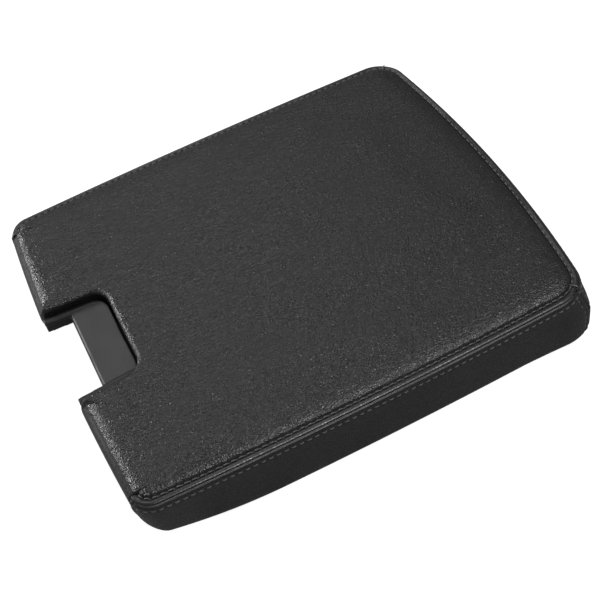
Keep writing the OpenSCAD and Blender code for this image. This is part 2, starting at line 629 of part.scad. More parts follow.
// Staples through the hem into the flange, each a place and a turn.
staple_w = 9;
staple_d = 0.7;
staple_leg = 2.6;
staple_in = 11;
staple_line = outline(staple_in);
function line_length(a, b) =
    a >= b ? 0 : norm(staple_line[a + 1] - staple_line[a]) + line_length(a + 1, b);
function at_length(s, a) =
    let (d = staple_line[a + 1] - staple_line[a], share = s / norm(d))
    share <= 1 ? [staple_line[a] + d * share, d, a, share] : at_length(s - norm(d), a + 1);
staple_run = line_length(right_mouth + 1, left_mouth - 1);
staple_count = floor(staple_run / staple_pitch);
all_staples = [for (k = [0:staple_count - 1])
    let (at = at_length(staple_run * (k + 0.5) / staple_count, right_mouth + 1), i = at[2], d = at[1])
    [[at[0].x, at[0].y, lift(i) + (lift(i + 1) - lift(i)) * at[3] + hem_step],
     atan2(d.y, d.x), atan((lift(i + 1) - lift(i)) / norm(d))]];
staples = [for (s = all_staples)
    if (s[0].y > corner_zone + 6 || abs(s[0].x) < lid_w / 2 - corner_zone - 8) s];
module cover_staples() {
    color("#a5a7a9") place() for (s = staples) translate(s[0]) rotate([0, -s[2], s[1]]) {
        translate([0, 0, -staple_d / 2 - 0.05]) cube([staple_w, staple_d, staple_d], center = true);
        for (x = [-1, 1]) translate([x * (staple_w - staple_d) / 2, 0, staple_leg / 2 - staple_d / 2 - 0.05])
            cube([staple_d, staple_d, staple_leg + staple_d - 0.1], center = true);
    }
}

lid_shell();
latch_bezel();
bezel_screws();
foam_pad();
top_panel();
right_band();
left_band();
rear_band();
seam_tape();
hinge_inserts();
latch_inserts();
cover_staples();
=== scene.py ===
"""Looks of a leather-covered center console lid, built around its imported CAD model."""

import math

import bpy
import numpy as np
from mathutils import Matrix, Vector, noise


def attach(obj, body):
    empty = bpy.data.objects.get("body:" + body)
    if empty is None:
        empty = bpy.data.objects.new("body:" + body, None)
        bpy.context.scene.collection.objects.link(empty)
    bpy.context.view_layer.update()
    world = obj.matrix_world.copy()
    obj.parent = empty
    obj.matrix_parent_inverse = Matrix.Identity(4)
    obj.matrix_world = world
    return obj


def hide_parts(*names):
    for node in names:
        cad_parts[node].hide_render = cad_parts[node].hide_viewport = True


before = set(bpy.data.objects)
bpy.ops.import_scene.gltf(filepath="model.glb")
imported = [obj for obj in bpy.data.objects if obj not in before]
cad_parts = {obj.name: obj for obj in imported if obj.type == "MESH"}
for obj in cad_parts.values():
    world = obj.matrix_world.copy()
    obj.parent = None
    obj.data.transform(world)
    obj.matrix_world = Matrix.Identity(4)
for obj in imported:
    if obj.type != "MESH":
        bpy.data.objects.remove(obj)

bl_info = {
    "name": "Center console lid",
    "version": (1, 0, 0),
    "blender": (4, 5, 0),
    "location": "3D View > Sidebar > Console lid",
    "description": "Leather cover, seams, stitches and moulded parts of a center console lid",
    "category": "Object",
}

MM = 0.001


# Sizes and colours a user would change

class LidSizes(bpy.types.PropertyGroup):
    """Sizes of the sewn cover that the CAD model leaves open."""

    leather: bpy.props.FloatProperty(
        name="Leather", description="Thickness of the leather", default=0.0012, unit="LENGTH")
    stitch: bpy.props.FloatProperty(
        name="Stitch", description="Length of one stitch and its gap", default=0.0056,
        unit="LENGTH")
    thread: bpy.props.FloatProperty(
        name="Thread", description="Thickness of the sewing thread", default=0.0009,
        unit="LENGTH")
    swell: bpy.props.FloatProperty(
        name="Swell", description="Most that the padded top may rise in the simulation",
        default=0.0004, unit="LENGTH")


class LidColours(bpy.types.PropertyGroup):
    """Colours of the leather, thread and moulded parts."""

    leather: bpy.props.FloatVectorProperty(
        name="Leather", description="Colour of the leather", subtype="COLOR", size=3,
        default=(0.012, 0.012, 0.0125), min=0, max=1)
    thread: bpy.props.FloatVectorProperty(
        name="Thread", description="Colour of the sewing thread", subtype="COLOR", size=3,
        default=(0.11, 0.11, 0.112), min=0, max=1)
    bezel: bpy.props.FloatVectorProperty(
        name="Bezel", description="Colour of the moulded latch bezel", subtype="COLOR", size=3,
        default=(0.027, 0.027, 0.028), min=0, max=1)


# Plan outline in millimetres, as in the CAD model. Y runs from the front corners to the rear.

WIDTH, LENGTH = 300.0, 345.0
SIDE_BOW, FRONT_BOW, REAR_BOW = 3.3, 6.2, 11.9
FRONT_R, REAR_R = 15.0, 23.0
MOUTH_W, BACK_W, NOTCH_D, NOTCH_R, MOUTH_R = 90.0, 82.0, 48.0, 13.0, 5.0
SEAM, CROWN = 48.3, 5.3                 # height of the shoulder seam, and of the crown above it
SIDE_LIFT, LIFT_RUN, FRONT_EDGE = 19.0, 100.0, 31.0
CORNER_LIFT, CORNER_REACH = 5.0, 50.0
FLARE, FLARE_REACH, FLARE_TOP, FLARE_RUN = 10.0, 60.0, 45.0, 20.0
FLARE_INSET, FLARE_FADE = 6.0, 2.8      # the flare fades out towards this inset, under the hem
HEM_END = 14.0                          # inset of the end of the turned-under leather
ROW_IN = 7.0                            # inset of the upper row of stitches
CHEEK_SLOPE = (MOUTH_W - BACK_W) / 2 / NOTCH_D
CHEEK_SHIFT = 1 / math.cos(math.atan(CHEEK_SLOPE)) - CHEEK_SLOPE
# Pieces along each of the eight corners and each of the eight sides between them
CORNER_STEPS = (6, 12, 36, 36, 12, 6, 14, 14)
SIDE_STEPS = (56, 196, 150, 196, 56, 18, 34, 18)


def fillet(a, b, c, r, n):
    """Points of the arc that rounds the corner b between a and c."""
    u, v = (a - b) / np.linalg.norm(a - b), (c - b) / np.linalg.norm(c - b)
    half = math.acos(u @ v) / 2
    o = b + (u + v) / np.linalg.norm(u + v) * r / math.sin(half)
    s, e = b + u * r / math.tan(half) - o, b + v * r / math.tan(half) - o
    a0 = math.atan2(s[1], s[0])
    turn = math.atan2(s[0] * e[1] - s[1] * e[0], s @ e)
    angles = a0 + turn * np.arange(n + 1) / n
    return o + r * np.stack([np.cos(angles), np.sin(angles)], 1)


def warp(p):
    """Bows the sides, the front and the rear of a straight-sided plan outwards."""
    across, along = 1 - (p[:, 0] / (WIDTH / 2)) ** 2, p[:, 1] / LENGTH
    x = p[:, 0] * (1 + 2 * SIDE_BOW / WIDTH * 4 * along * (1 - along))
    y = p[:, 1] + across * (REAR_BOW * along - FRONT_BOW * (1 - along))
    return np.stack([x, y], 1)


def outline(inset):
    """Points round the lid at one inset, counter-clockwise from the notch's right cheek."""
    x, m = WIDTH / 2 - inset, MOUTH_W / 2 + inset * CHEEK_SHIFT
    b = BACK_W / 2 + inset * CHEEK_SHIFT
    c = np.array([[m, inset], [x, inset], [x, LENGTH - inset], [-x, LENGTH - inset],
                  [-x, inset], [-m, inset], [-b, NOTCH_D + inset], [b, NOTCH_D + inset]])
    mouth, front, rear = max(MOUTH_R - inset, 1), max(FRONT_R - inset, 1), max(REAR_R - inset, 6)
    r = (mouth, front, rear, rear, front, mouth, NOTCH_R + inset, NOTCH_R + inset)
    arcs = [fillet(c[i - 1], c[i], c[(i + 1) % 8], r[i], CORNER_STEPS[i]) for i in range(8)]
    rows = []
    for i in range(8):
        a, z = arcs[i][-1], arcs[(i + 1) % 8][0]
        k = (np.arange(SIDE_STEPS[i]) + 1)[:, None] / (SIDE_STEPS[i] + 1)
        rows += [arcs[i], a + (z - a) * k]
    return warp(np.concatenate(rows))


EDGE = outline(0)
COUNT = len(EDGE)
PLACES = np.arange(COUNT)
Y_MID = (EDGE[:, 1].min() + LENGTH + REAR_BOW) / 2


def corner_at(i):
    """Number of the outline's point where a corner starts."""
    return sum(CORNER_STEPS[:i]) + i + sum(SIDE_STEPS[:i])


RIGHT_MOUTH, LEFT_MOUTH = CORNER_STEPS[0], corner_at(5)
RIGHT_FRONT, LEFT_FRONT = corner_at(1), corner_at(4) + CORNER_STEPS[4]
RIGHT_SEAM = corner_at(2) + CORNER_STEPS[2] // 2
LEFT_SEAM = corner_at(3) + CORNER_STEPS[3] // 2
FROM_FRONT = np.minimum(PLACES - RIGHT_FRONT, LEFT_FRONT - PLACES)
ON_FRONT = (PLACES < RIGHT_FRONT) | (PLACES > LEFT_FRONT)


def ease(t):
    """A soft step from 0 to 1."""
    t = np.clip(t, 0, 1)
    return t * t * (3 - 2 * t)


def bell(x, middle, width):
    """1 at the middle, falling off to both sides."""
    return np.exp(-((x - middle) / width) ** 2)


def rear_corner_near(plan, reach):
    """1 at a rear corner's sharp point, falling to 0 at some distance from it."""
    side = np.where(plan[:, 0] < 0, -1, 1)
    away = plan - np.stack([side * WIDTH / 2, np.full(len(plan), LENGTH)], 1)
    return np.clip(1 - np.linalg.norm(away, axis=1) / reach, 0, None)


def lower_edge():
    """How far the lower edge is lifted at each place."""
    y = EDGE[:, 1]
    rise = (np.clip(LIFT_RUN - y, 0, None) / (LIFT_RUN + FRONT_BOW)) ** 2
    side = np.where(y < LIFT_RUN, SIDE_LIFT * rise, 0)
    chin = np.clip(1 - FROM_FRONT / CORNER_STEPS[1], 0, 1) ** 1.5
    chin = np.where(ON_FRONT, 1.0, chin)
    return (side + chin * (FRONT_EDGE - side)
            + CORNER_LIFT * rear_corner_near(EDGE, CORNER_REACH) ** 2)


def notch_share():
    """1 round the notch and 0 along the rest, with a change over the corners of its mouth."""
    leaving = 1 - PLACES / RIGHT_MOUTH
    entering = np.clip((PLACES - LEFT_MOUTH) / CORNER_STEPS[5], 0, 1)
    return np.where(PLACES <= RIGHT_MOUTH, leaving, np.where(PLACES < LEFT_MOUTH, 0.0, entering))


LIFT = lower_edge()
SHARE = notch_share()


def flared(plan, z, inset):
    """Round the rear corners the leather leaves the seam's line and stands out further down."""
    push = FLARE * rear_corner_near(plan, FLARE_REACH) ** 2 * ease((FLARE_TOP - z) / FLARE_RUN)
    push = push * min(max((FLARE_INSET - inset) / FLARE_FADE, 0), 1) / math.sqrt(2)
    return plan + push[:, None] * np.stack([np.where(plan[:, 0] < 0, -1, 1), np.ones(len(plan))], 1)


def travelled(line):
    """Length along a line of points up to each of them."""
    return np.concatenate([[0], np.cumsum(np.linalg.norm(np.diff(line, axis=0), axis=1))])


def at_places(values, places):
    """Values at places between the outline's points."""
    if values.ndim == 1:
        return np.interp(places, PLACES, values)
    return np.stack([np.interp(places, PLACES, column) for column in values.T], 1)


def smooth_section(points, steps=2):
    """A smooth curve through the places of a section, with steps pieces between two of them."""
    p = np.array(points, float)
    p = np.concatenate([[2 * p[0] - p[1]], p, [2 * p[-1] - p[-2]]])
    found = []
    for k in range(1, len(p) - 2):
        for t in np.arange(steps) / steps:
            a, b, c, d = p[k - 1:k + 3]
            found.append(0.5 * (2 * b + (c - a) * t + (2 * a - 5 * b + 4 * c - d) * t * t
                                + (3 * b - a - 3 * c + d) * t ** 3))
    return np.array(found + [p[-2]])


# Modelling helpers

def clear_selection():
    """Leaves edit mode and selects nothing."""
    if bpy.context.object and bpy.context.object.mode != "OBJECT":
        bpy.ops.object.mode_set(mode="OBJECT")
    bpy.ops.object.select_all(action="DESELECT")


def pick(piece):
    """Selects one piece and makes it active."""
    clear_selection()
    piece.select_set(True)
    bpy.context.view_layer.objects.active = piece


def edit_all(piece, work, **values):
    """Runs one mesh operator on the whole of a piece."""
    pick(piece)
    bpy.ops.object.mode_set(mode="EDIT")
    bpy.ops.mesh.select_all(action="SELECT")
    work(**values)
    bpy.ops.object.mode_set(mode="OBJECT")


def skin(name, rows, closed=False):
    """A grid primitive laid on rows of points in millimetres."""
    clear_selection()
    if closed:
        rows = np.concatenate([rows, rows[:, :1]], axis=1)
    m, n = rows.shape[:2]
    bpy.ops.mesh.primitive_grid_add(x_subdivisions=n - 1, y_subdivisions=m - 1, size=1)
    piece = bpy.context.object
    piece.name = name
    placed = rows.reshape(-1, 3) - (0, Y_MID, 0)
    piece.data.vertices.foreach_set("co", (placed * MM).ravel())
    piece.data.update()
    if closed:
        edit_all(piece, bpy.ops.mesh.remove_doubles, threshold=2e-6)
    return piece


def face_out(piece, outwards, where):
    """Turns a skin's faces over if, on the whole, they look inwards."""
    total = sum(outwards(f.center, f.normal) * f.area
                for f in piece.data.polygons if where(f.center))
    if total < 0:
        edit_all(piece, bpy.ops.mesh.flip_normals)


def points_of(piece):
    """Places of a piece's points in metres."""
    co = np.empty(len(piece.data.vertices) * 3)
    piece.data.vertices.foreach_get("co", co)
    return co.reshape(-1, 3)


def add_modifier(piece, kind, **values):
    """Adds a modifier and sets its values."""
    pick(piece)
    bpy.ops.object.modifier_add(type=kind)
    modifier = piece.modifiers[-1]
    for key, value in values.items():
        setattr(modifier, key, value)
    return modifier


def apply_modifiers(piece):
    """Applies every modifier of a piece."""
    pick(piece)
    for modifier in list(piece.modifiers):
        bpy.ops.object.modifier_apply(modifier=modifier.name)


def round_shading(piece, degrees=60):
    """Shades a piece smooth, apart from edges sharper than an angle."""
    pick(piece)
    bpy.ops.object.shade_smooth_by_angle(angle=math.radians(degrees))


def finish_piece(piece, material):
    """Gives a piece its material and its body."""
    piece.data.materials.clear()
    piece.data.materials.append(material)
    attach(piece, "root")


# Materials

def shade(colour, share):
    """A colour made darker or lighter."""
    return tuple(share * c for c in colour)


def new_material(name, colour, roughness, **sockets):
    """A material with a colour, a roughness and other values for its shader's sockets."""
    material = bpy.data.materials.new(name)
    material.use_nodes = True
    nodes = material.node_tree.nodes
    shader = nodes["Principled BSDF"]
    shader.inputs["Base Color"].default_value = (*colour, 1)
    shader.inputs["Roughness"].default_value = roughness
    for key, value in sockets.items():
        shader.inputs[key.replace("_", " ")].default_value = value
    return material, nodes, material.node_tree.links, shader


def object_place(nodes, links, scale=(1, 1, 1), turn=(0, 0, 0)):
    """Object coordinates, scaled and turned."""
    place = nodes.new("ShaderNodeTexCoord")
    mapping = nodes.new("ShaderNodeMapping")
    mapping.inputs["Scale"].default_value = scale
    mapping.inputs["Rotation"].default_value = turn
    links.new(place.outputs["Object"], mapping.inputs["Vector"])
    return mapping.outputs["Vector"]


def texture(nodes, links, kind, vector, **values):
    """A texture node with values for its sockets or its own settings."""
    node = nodes.new(kind)
    for key, value in values.items():
        socket = node.inputs.get(key)
        if socket is None:
            setattr(node, key, value)
        else:
            socket.default_value = value
    links.new(vector, node.inputs["Vector"])
    return node


def ramp(nodes, links, value, low, high, to_low=0.0, to_high=1.0):
    """Takes the range from low to high to another range."""
    node = nodes.new("ShaderNodeMapRange")
    for key, number in (("From Min", low), ("From Max", high),
                        ("To Min", to_low), ("To Max", to_high)):
        node.inputs[key].default_value = number
    links.new(value, node.inputs["Value"])
    return node.outputs["Result"]


def combine(nodes, links, operation, *values):
    """A math node on numbers or on other nodes' outputs."""
    node = nodes.new("ShaderNodeMath")
    node.operation = operation
    for socket, value in zip(node.inputs, values):
        if isinstance(value, (int, float)):
            socket.default_value = value
        else:
            links.new(value, socket)
    return node.outputs[0]


def mix_colours(nodes, links, factor, a, b):
    """Colour a where the factor is 0 and b where it is 1. Each is a colour or a node's output."""
    node = nodes.new("ShaderNodeMix")
    node.data_type = "RGBA"
    links.new(factor, node.inputs["Factor"])
    for key, colour in (("A", a), ("B", b)):
        if isinstance(colour, bpy.types.NodeSocket):
            links.new(colour, node.inputs[key])
        else:
            node.inputs[key].default_value = (*colour, 1)
    return node.outputs["Result"]


def bump(nodes, links, height, strength, distance):
    """The normal of a surface with a relief."""
    node = nodes.new("ShaderNodeBump")
    node.inputs["Strength"].default_value = strength
    node.inputs["Distance"].default_value = distance
    links.new(height, node.inputs["Height"])
    return node.outputs["Normal"]


def leather_material(name, colour, grain, roughness):
    """Pebbled leather with longer wrinkles, smooth and shinier where a seam stretches it."""
    material, nodes, links, shader = new_material(name, colour, roughness, Specular_IOR_Level=0.55)
    stretch = nodes.new("ShaderNodeAttribute")
    stretch.attribute_name = "stretch"
    stretched = stretch.outputs["Fac"]
    place = object_place(nodes, links)
    drift = texture(nodes, links, "ShaderNodeTexNoise", place, Scale=170.0, Detail=3.0)
    fine = texture(nodes, links, "ShaderNodeTexNoise", place, Scale=1900.0, Detail=3.0)

    def creases(vector, scale, wander, high):
        """Cells with low edges, whose places wander a little."""
        shift = nodes.new("ShaderNodeVectorMath")
        shift.operation = "MULTIPLY_ADD"
        shift.inputs[1].default_value = (wander, wander, wander)
        links.new(drift.outputs["Color"], shift.inputs[0])
        links.new(vector, shift.inputs[2])
        cells = texture(nodes, links, "ShaderNodeTexVoronoi", shift.outputs[0],
                        feature="DISTANCE_TO_EDGE", Scale=scale)
        return ramp(nodes, links, cells.outputs["Distance"], 0.0, high)

    pebble = creases(place, 470.0, 0.0024, 0.38)
    long_place = object_place(nodes, links, scale=(1.0, 0.38, 1.0), turn=(0, 0, math.radians(38)))
    crease = creases(long_place, 300.0, 0.005, 0.2)
    height = combine(nodes, links, "MULTIPLY", pebble, 0.5)
    height = combine(nodes, links, "MULTIPLY_ADD", crease, 0.5, height)
    height = combine(nodes, links, "MULTIPLY_ADD", fine.outputs["Fac"], 0.3, height)
    left = combine(nodes, links, "SUBTRACT", 1.0,
                   combine(nodes, links, "MULTIPLY", stretched, 0.97))
    relief = combine(nodes, links, "MULTIPLY", height, left)
    links.new(bump(nodes, links, relief, grain, 0.00034), shader.inputs["Normal"])

    patches = texture(nodes, links, "ShaderNodeTexNoise", place, Scale=22.0, Detail=3.0)
    worn = ramp(nodes, links, patches.outputs["Fac"], 0.3, 0.7, roughness - 0.05, roughness + 0.07)
    valley = ramp(nodes, links, pebble, 0.0, 1.0, 0.25, 0.0)
    rough = combine(nodes, links, "ADD", worn, valley)
    rough = combine(nodes, links, "MULTIPLY_ADD", stretched, 0.2 - roughness, rough)
    links.new(rough, shader.inputs["Roughness"])
    # painted shade and painted light: the colour follows the relief, 0.45 of it in the creases and
    # 1.2 of it on the pebbles' tops
    tone = mix_colours(nodes, links, height, shade(colour, 0.45), shade(colour, 1.2))
    links.new(tone, shader.inputs["Base Color"])
    return material


def thread_material(colour):
    """Twisted sewing thread."""
    material, nodes, links, shader = new_material("thread", colour, 0.42, Sheen_Weight=0.2)
    place = object_place(nodes, links, turn=(0, 0, math.radians(35)))
    twist = texture(nodes, links, "ShaderNodeTexWave", place, Scale=900.0, Distortion=0.6)
    links.new(bump(nodes, links, twist.outputs["Fac"], 0.6, 0.0001), shader.inputs["Normal"])
    return material


def plastic_material(name, colour, roughness, scale=1500.0, strength=0.25, face=None):
    """Moulded plastic. If a level face's height is given, everything away from that face gets
    painted shade, darker than the face.
    """
    material, nodes, links, shader = new_material(name, colour, roughness)
    place = object_place(nodes, links)
    spark = texture(nodes, links, "ShaderNodeTexNoise", place, Scale=scale, Detail=2.0)
    links.new(bump(nodes, links, spark.outputs["Fac"], strength, 0.00008), shader.inputs["Normal"])
    cloud = texture(nodes, links, "ShaderNodeTexNoise", place, Scale=60.0, Detail=4.0,
                    Roughness=0.6)
    wear = ramp(nodes, links, cloud.outputs["Fac"], 0.35, 0.7, roughness - 0.05, roughness + 0.07)
    links.new(wear, shader.inputs["Roughness"])
    tone = mix_colours(nodes, links, cloud.outputs["Fac"], shade(colour, 0.9), shade(colour, 1.08))
    if face is not None:
        # painted shade: off the level face the colour drops to 0.15 of itself, so walls and rims
        # look shaded
        split = nodes.new("ShaderNodeSeparateXYZ")
        links.new(place, split.inputs[0])
        above = combine(nodes, links, "SUBTRACT", split.outputs["Z"], face)
        away = combine(nodes, links, "ABSOLUTE", above)
        on_face = ramp(nodes, links, away, 0.0003, 0.0006, 1.0, 0.0)
        tone = mix_colours(nodes, links, on_face, shade(colour, 0.15), tone)
    links.new(tone, shader.inputs["Base Color"])
    return material


def metal_material(name, colour, roughness):
    """Bare metal with fine lines."""
    material, nodes, links, shader = new_material(name, colour, roughness, Metallic=1.0)
    place = object_place(nodes, links, scale=(1, 1, 6))
    lines = texture(nodes, links, "ShaderNodeTexNoise", place, Scale=900.0, Detail=3.0)
    links.new(bump(nodes, links, lines.outputs["Fac"], 0.2, 0.00005), shader.inputs["Normal"])
    links.new(ramp(nodes, links, lines.outputs["Fac"], 0.3, 0.7, roughness - 0.08, roughness + 0.1),
              shader.inputs["Roughness"])
    return material


def foam_material():
    """Open-celled foam, with painted shade in its pores."""
    material, nodes, links, shader = new_material("foam", (0.11, 0.1, 0.085), 0.95)
    place = object_place(nodes, links)
    cells = texture(nodes, links, "ShaderNodeTexVoronoi", place, Scale=900.0)
    links.new(bump(nodes, links, cells.outputs["Distance"], 0.8, 0.0004), shader.inputs["Normal"])
    # painted shade in the pores: darker towards each cell's middle, where the bump sinks it
    wall = ramp(nodes, links, cells.outputs["Distance"], 0.0, 0.7, 0.5, 1.0)
    tone = mix_colours(nodes, links, wall, (0.04, 0.036, 0.03), (0.13, 0.118, 0.1))
    links.new(tone, shader.inputs["Base Color"])
    return material


def tape_material():
    """Woven tape."""
    material, nodes, links, shader = new_material("tape", (0.25, 0.25, 0.235), 0.8)
    place = object_place(nodes, links)
    weave = texture(nodes, links, "ShaderNodeTexChecker", place, Scale=1400.0,
                    Color1=(0.28, 0.28, 0.26, 1), Color2=(0.17, 0.17, 0.16, 1))
    links.new(weave.outputs["Color"], shader.inputs["Base Color"])
    links.new(bump(nodes, links, weave.outputs["Fac"], 0.5, 0.0001), shader.inputs["Normal"])
    return material


# Leather

# Sections of the top panel, from its edge to the crown: inset, height, share of the lower edge's
# lift. The side's section starts under the seam, and the front's at the end of its hem.
TOP_SIDE = [
    (3.0, SEAM - 1.6, 0), (2.5, SEAM - 0.8, 0), (2.45, SEAM + 0.1, 0), (2.62, SEAM + 0.52, 0),
    (3.1, SEAM + 0.78, 0), (3.7, SEAM + 1.08, 0), (5.0, SEAM + 0.88, 0), (6.5, SEAM + 0.5, 0),
    (ROW_IN, SEAM + 0.45, 0), (7.45, SEAM + 0.7, 0), (8.1, SEAM + 1.25, 0), (9.2, SEAM + 2.15, 0),
    (10.8, SEAM + 3.1, 0), (13.0, SEAM + 4.0, 0), (16.0, SEAM + 4.65, 0), (20.0, SEAM + 5.1, 0),
    (26.0, SEAM + CROWN, 0)]
TOP_FRONT = [
    (HEM_END, 1.0, 1), (8.5, 1.0, 1), (4.2, 1.0, 1), (2.0, 1.5, 1), (0.7, 2.9, 1), (0.1, 6.5, 1),
    (0.1, SEAM - 7.5, 0), (0.25, SEAM - 5.0, 0), (0.8, SEAM - 3.2, 0), (1.8, SEAM - 1.9, 0),
    (3.1, SEAM - 0.6, 0), (4.4, SEAM + 0.6, 0), (5.2, SEAM + 1.5, 0), (6.8, SEAM + 2.5, 0),
    (9.5, SEAM + 3.7, 0), (14.5, SEAM + 4.65, 0), (26.0, SEAM + CROWN, 0)]
TOP_NOTCH = [
    (0.9, SEAM - 13, 0), (0.9, SEAM - 11, 0), (0.9, SEAM - 9, 0), (0.9, SEAM - 7, 0),
    (0.9, SEAM - 5, 0), (0.85, SEAM - 3, 0), (0.8, SEAM - 1, 0), (0.8, SEAM + 0.6, 0),
    (1.0, SEAM + 1.8, 0), (1.6, SEAM + 2.8, 0), (2.6, SEAM + 3.6, 0), (4.0, SEAM + 4.2, 0),
    (6.0, SEAM + 4.6, 0), (9.0, SEAM + 4.85, 0), (13.0, SEAM + 5.05, 0), (19.0, SEAM + 5.2, 0),
    (26.0, SEAM + CROWN, 0)]
# Section of a band, from the end of its hem up to the seam
BAND = [
    (HEM_END, 1.0, 1), (10.5, 1.0, 1), (7.8, 1.0, 1), (6.4, 0.1, 1), (4.2, 0.0, 1), (2.1, 0.55, 1),
    (0.8, 2.4, 1), (0.3, 6.0, 1), (0.15, 15.1, 0.7), (0.05, 25.7, 0.35), (0.0, SEAM - 12, 0),
    (-0.05, SEAM - 9, 0), (0.0, SEAM - 6.8, 0), (0.2, SEAM - 5.5, 0), (0.55, SEAM - 4.8, 0),
    (0.34, SEAM - 4.0, 0), (0.3, SEAM - 3.4, 0), (0.72, SEAM - 2.55, 0), (1.25, SEAM - 1.8, 0),
    (1.75, SEAM - 1.4, 0), (2.08, SEAM - 1.35, 0), (2.22, SEAM - 1.6, 0), (2.28, SEAM - 2.1, 0),
    (2.35, SEAM - 2.6, 0)]

SHORT_HEM = 2.6                         # inset that the hem keeps to at the ends of the front
HOLE_DEPTH, PUFF = 0.72, 0.4            # upper row: depth of the needle holes, rise between them
PLEAT, PLEAT_LENGTH = 0.13, 2.4         # height and length of the fine pleats beside the seam
LOWER_ROW = 4.8                         # distance of the lower row below the seam
LOWER_HOLE, LOWER_RISE = 0.24, 0.08     # lower row: depth of the needle holes, rise along it
CROWN_FROM = SEAM + 4.5                 # the crown's grid lies above this height
SWELL_FROM = SEAM + 3.9                 # what lies lower is held in the simulation
PRESSURE = 0.35
TOP_FOLDED, BAND_FOLDED = 0.4, 0.45     # share of the leather's thickness left in a tight fold


def stitch_row(inset, pitch):
    """Where the stitches of a row round the seam begin and end, as places along the outline."""
    s = travelled(outline(inset)[RIGHT_FRONT:LEFT_FRONT + 1])
    count = round(s[-1] / pitch)
    at = np.interp(np.arange(count + 1) * s[-1] / count, s, np.arange(RIGHT_FRONT, LEFT_FRONT + 1))
    return at, s, count


def stitch_wave(inset, pitch):
    """1 at each needle hole of a row and 0 between two of them, at each place of the outline."""
    _, s, count = stitch_row(inset, pitch)
    wave = np.zeros(COUNT)
    phase = s / s[-1] * count
    wave[RIGHT_FRONT:LEFT_FRONT + 1] = (0.5 + 0.5 * np.cos(2 * math.pi * phase)) ** 2
    return wave


def top_rows(pitch):
    """Rings of the top panel from its edge to the crown, in millimetres."""
    sections = [smooth_section(s) for s in (TOP_SIDE, TOP_FRONT, TOP_NOTCH)]
    holes = stitch_wave(ROW_IN, pitch)
    along = travelled(np.concatenate([EDGE, EDGE[:1]]))[:-1]
    # share of the way from the notch's mouth to the front corner
    u = np.where(PLACES < RIGHT_FRONT, (PLACES - RIGHT_MOUTH) / (RIGHT_FRONT - RIGHT_MOUTH),
                 (LEFT_MOUTH - PLACES) / (LEFT_MOUTH - LEFT_FRONT))
    full_hem = np.clip(u / 0.15, 0, 1) * np.clip((0.975 - u) / 0.125, 0, 1)
    rows = []
    for side, front, notch in zip(*sections):
        at_side, at_front, at_notch = (outline(place[0]) for place in (side, front, notch))
        if front[2] > 0.5 and front[0] > SHORT_HEM:
            short = outline(SHORT_HEM + 0.05 * (front[0] - SHORT_HEM))
            at_front = short + (at_front - short) * full_hem[:, None]
        plan = np.where(ON_FRONT[:, None], at_front, at_side)
        plan = plan + (at_notch - plan) * SHARE[:, None]
        z = np.where(ON_FRONT, front[1] + front[2] * LIFT, side[1] + side[2] * LIFT)
        z = z + (notch[1] - z) * SHARE
        # the leather is drawn down at the needle holes and puffs up between them
        z = z - np.where(ON_FRONT, 0, HOLE_DEPTH * bell(side[0], ROW_IN + 0.3, 1.0) * holes)
        z = z + np.where(ON_FRONT, 0, PUFF * bell(side[0], ROW_IN + 2.0, 1.2) * (1 - holes))
        # fine pleats where it turns down to the seam or over the front
        depth = np.where(ON_FRONT, bell(front[0], 7.0, 4.0) * (front[2] < 0.5),
                         bell(side[0], 10.0, 2.6) * (side[0] > ROW_IN))
        ripple = np.array([noise.noise(Vector((s / PLEAT_LENGTH, front[0] / 14, 3.1)))
                           for s in along])
        z = z + PLEAT * depth * ripple * (1 - 0.5 * SHARE)
        rows.append(np.concatenate([plan, z[:, None]], axis=1))
    return np.array(rows)


def fill_crown(piece, pitch=6.0):
    """Closes the top panel with one face and cuts it into a grid."""
    pick(piece)
    bpy.ops.object.mode_set(mode="EDIT")
    bpy.ops.mesh.select_mode(type="VERT")
    bpy.ops.mesh.select_all(action="DESELECT")
    bpy.ops.mesh.select_non_manifold()
    bpy.ops.object.mode_set(mode="OBJECT")
    for v in piece.data.vertices:
        v.select = v.select and v.co.z > CROWN_FROM * MM
    for e in piece.data.edges:
        e.select = all(piece.data.vertices[i].select for i in e.vertices)
    bpy.ops.object.mode_set(mode="EDIT")
    bpy.ops.mesh.edge_face_add()
    bpy.ops.mesh.select_mode(type="FACE")
    bpy.ops.mesh.hide(unselected=True)
    beside = 0.13       # keeps the cuts off the outline's own points
    for axis, reach in enumerate((WIDTH, LENGTH)):
        count = round(reach / pitch)
        for k in range(1, count):
            at, normal = [0, 0, 0], [0, 0, 0]
            at[axis], normal[axis] = (-reach / 2 + reach * k / count + beside) * MM, 1
            bpy.ops.mesh.select_all(action="SELECT")
            bpy.ops.mesh.bisect(plane_co=at, plane_no=normal)
    bpy.ops.mesh.reveal(select=False)
    bpy.ops.mesh.select_mode(type="VERT")
    bpy.ops.object.mode_set(mode="OBJECT")
    face_out(piece, lambda co, normal: normal.z, lambda co: co.z > CROWN_FROM * MM)


